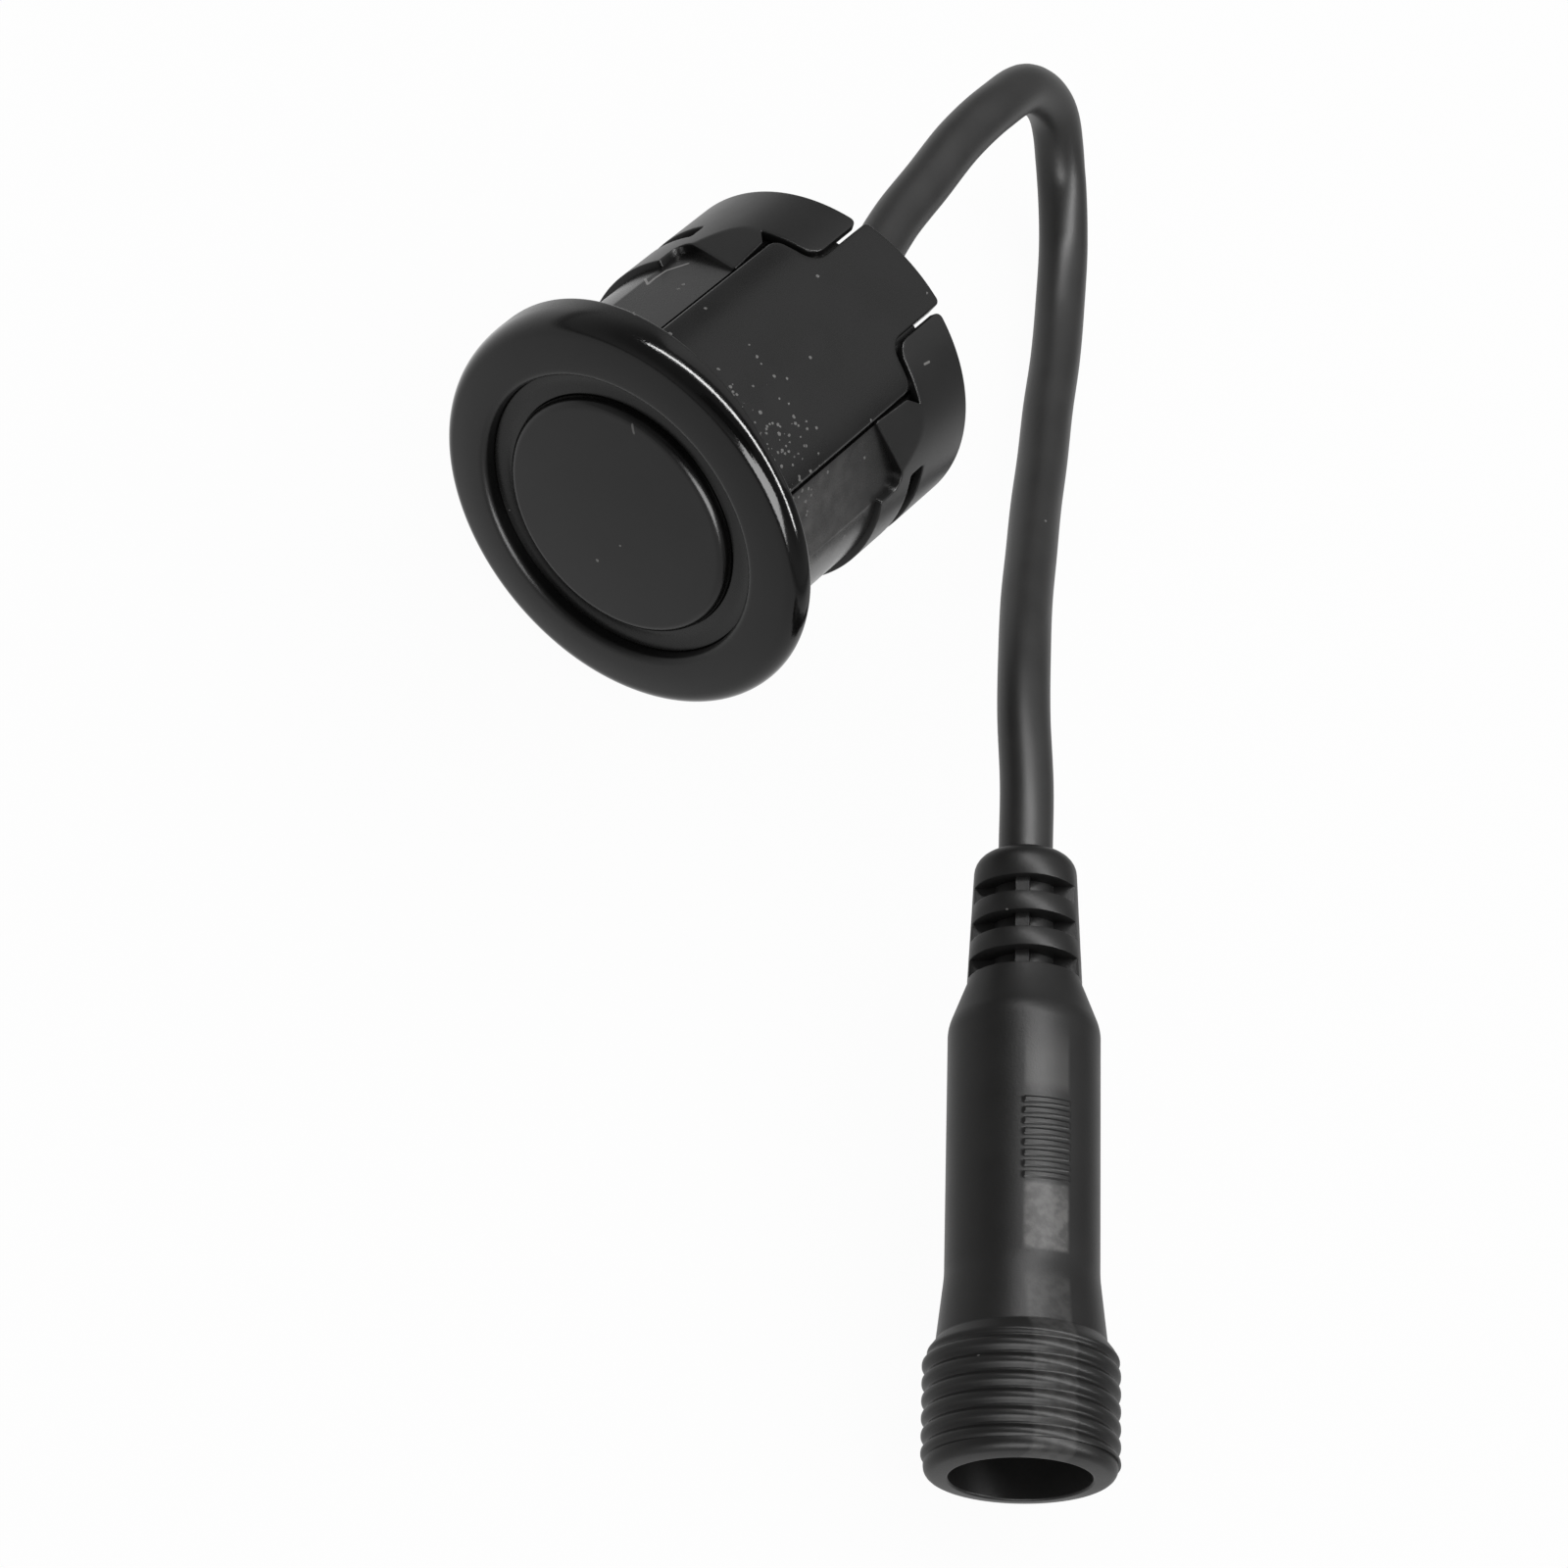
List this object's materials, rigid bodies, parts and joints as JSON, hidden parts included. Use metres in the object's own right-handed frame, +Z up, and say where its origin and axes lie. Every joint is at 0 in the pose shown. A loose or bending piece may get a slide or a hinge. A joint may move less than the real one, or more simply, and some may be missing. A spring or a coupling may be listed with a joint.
{
  "type": "parking sensor",
  "caption": "Flush-mount ultrasonic parking sensor for a bumper hole: flanged round body with a snap clip, a short moulded lead and a screw-coupled connector.",
  "frame": {"origin": "centre of the flange's rear face, where the body leaves the bumper's outer skin", "axes": "+Y along the body's axis into the bumper, sensing face towards -Y, +Z up through the tongue"},
  "size_m": [0.0735, 0.0826, 0.026],
  "materials": {
    "housing_plastic": "satin black moulded plastic",
    "clip_plastic": "satin black moulded plastic",
    "ring_rubber": "matt black silicone rubber",
    "cup_paint": "satin black paint on aluminium",
    "piezo_ceramic": "silvered ceramic",
    "pad_cork": "matt cork and rubber",
    "potting_silicone": "cured silicone",
    "core_red": "extruded insulation",
    "core_white": "extruded insulation",
    "cable_pvc": "satin extruded jacket",
    "connector_pvc": "satin moulded shell",
    "carrier_plastic": "black moulded plastic",
    "contact_metal": "plated brass"
  },
  "bodies": {
    "root": {"housing": "housing_plastic", "retaining_clip": "clip_plastic", "decoupling_ring": "ring_rubber", "transducer_cup": "cup_paint", "piezo_disc": "piezo_ceramic", "damping_pad": "pad_cork", "potting": "potting_silicone", "core_live": "core_red", "core_return": "core_white", "rear_cap": "housing_plastic", "cable_jacket": "cable_pvc", "connector_shell": "connector_pvc", "contact_carrier": "carrier_plastic", "pin_live": "contact_metal", "pin_return": "contact_metal"}
  },
  "joints": []
}
